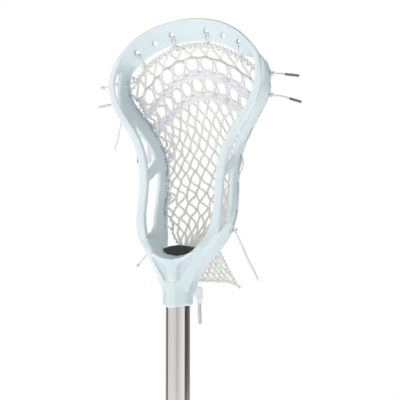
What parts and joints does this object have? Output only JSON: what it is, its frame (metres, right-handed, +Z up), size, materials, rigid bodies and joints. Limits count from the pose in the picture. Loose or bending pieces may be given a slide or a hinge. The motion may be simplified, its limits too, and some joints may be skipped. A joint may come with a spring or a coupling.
{
  "type": "lacrosse stick",
  "caption": "Strung lacrosse stick: moulded head with scoop and open side walls, laced mesh pocket, eight-sided alloy shaft and rubber butt cap.",
  "frame": {"origin": "centre of the butt cap's underside, on the shaft's axis", "axes": "+Z up the shaft to the scoop; the open ball side of the head faces -Y; X is the head's width and X = 0 its plane of symmetry"},
  "size_m": [0.2444, 0.1163, 1.0351],
  "materials": {
    "moulded_plastic": "satin",
    "stop_foam": "matte",
    "screw_steel": "satin",
    "shaft_alloy": "polished",
    "cap_rubber": "matte",
    "mesh_cord": "woven",
    "lace": "woven",
    "tip_plastic": "gloss"
  },
  "bodies": {
    "stick": {"shaft": "shaft_alloy", "head_frame": "moulded_plastic", "ball_stop": "stop_foam", "mesh_pocket": "mesh_cord", "top_string": "mesh_cord", "left_sidewall_string": "mesh_cord", "right_sidewall_string": "mesh_cord", "bottom_string": "mesh_cord", "shooting_cord": "lace", "upper_shooting_lace": "lace", "lower_shooting_lace": "lace"},
    "butt_cap": {"end_cap": "cap_rubber"},
    "screw": {"head_screw": "screw_steel"},
    "flap": {"mesh_flap": "mesh_cord"},
    "right_upper_cord_end": {"right_upper_cord": "mesh_cord", "right_upper_cord_tip": "tip_plastic"},
    "right_lower_cord_end": {"right_lower_cord": "mesh_cord", "right_lower_cord_tip": "tip_plastic"},
    "left_upper_cord_end": {"left_upper_cord": "mesh_cord", "left_upper_cord_tip": "tip_plastic"},
    "left_lower_cord_end": {"left_lower_cord": "mesh_cord", "left_lower_cord_tip": "tip_plastic"},
    "left_hanging_string_end": {"left_hanging_string": "mesh_cord"},
    "left_narrow_lace_end": {"left_narrow_lace": "lace", "left_narrow_lace_tip": "tip_plastic"},
    "left_wide_lace_end": {"left_wide_lace": "lace"},
    "throat_lace_end": {"throat_lace": "lace", "throat_lace_tip": "tip_plastic"},
    "left_bottom_end": {"left_bottom_end": "mesh_cord", "left_bottom_end_tip": "tip_plastic"},
    "right_bottom_end": {"right_bottom_end": "mesh_cord"}
  },
  "joints": [
    {"name": "butt_cap_pull", "type": "slide", "parent": "stick", "child": "butt_cap", "axis": [0, 0, -1], "range_m": [0, 0.03]},
    {"name": "screw_out", "type": "slide", "parent": "stick", "child": "screw", "axis": [0, -1, 0], "range_m": [0, 0.014]},
    {"name": "flap_swing", "type": "hinge", "parent": "stick", "child": "flap", "pos_m": [0, 0.048, 0.782], "axis": [1, 0, 0], "range_deg": [-5, 45]},
    {"name": "right_upper_cord_swing", "type": "hinge", "parent": "stick", "child": "right_upper_cord_end", "pos_m": [0.0922, 0.042, 0.97], "axis": [0, 1, 0], "range_deg": [-15, 25]},
    {"name": "right_lower_cord_swing", "type": "hinge", "parent": "stick", "child": "right_lower_cord_end", "pos_m": [0.0874, 0.05, 0.948], "axis": [0, 1, 0], "range_deg": [-12, 25]},
    {"name": "left_upper_cord_swing", "type": "hinge", "parent": "stick", "child": "left_upper_cord_end", "pos_m": [-0.0934, 0.03, 0.9725], "axis": [0, 1, 0], "range_deg": [-25, 15]},
    {"name": "left_lower_cord_swing", "type": "hinge", "parent": "stick", "child": "left_lower_cord_end", "pos_m": [-0.0908, 0.034, 0.952], "axis": [0, 1, 0], "range_deg": [-20, 12]},
    {"name": "left_hanging_string_swing", "type": "hinge", "parent": "stick", "child": "left_hanging_string_end", "pos_m": [-0.0883, 0.032, 0.946], "axis": [0, 1, 0], "range_deg": [-4, 20]},
    {"name": "left_narrow_lace_swing", "type": "hinge", "parent": "stick", "child": "left_narrow_lace_end", "pos_m": [-0.0785, 0.057, 0.928], "axis": [1, 0, 0], "range_deg": [-4, 12]},
    {"name": "left_wide_lace_swing", "type": "hinge", "parent": "stick", "child": "left_wide_lace_end", "pos_m": [-0.069, 0.066, 0.919], "axis": [1, 0, 0], "range_deg": [0, 20]},
    {"name": "throat_lace_swing", "type": "hinge", "parent": "stick", "child": "throat_lace_end", "pos_m": [-0.0034, 0.0545, 0.742], "axis": [1, 0, 0], "range_deg": [-6, 30]},
    {"name": "left_bottom_end_swing", "type": "hinge", "parent": "stick", "child": "left_bottom_end", "pos_m": [-0.0405, 0.008, 0.778], "axis": [0, 1, 0], "range_deg": [-5, 25]},
    {"name": "right_bottom_end_swing", "type": "hinge", "parent": "stick", "child": "right_bottom_end", "pos_m": [0.0448, 0.048, 0.802], "axis": [0, 1, 0], "range_deg": [-25, 10]}
  ]
}
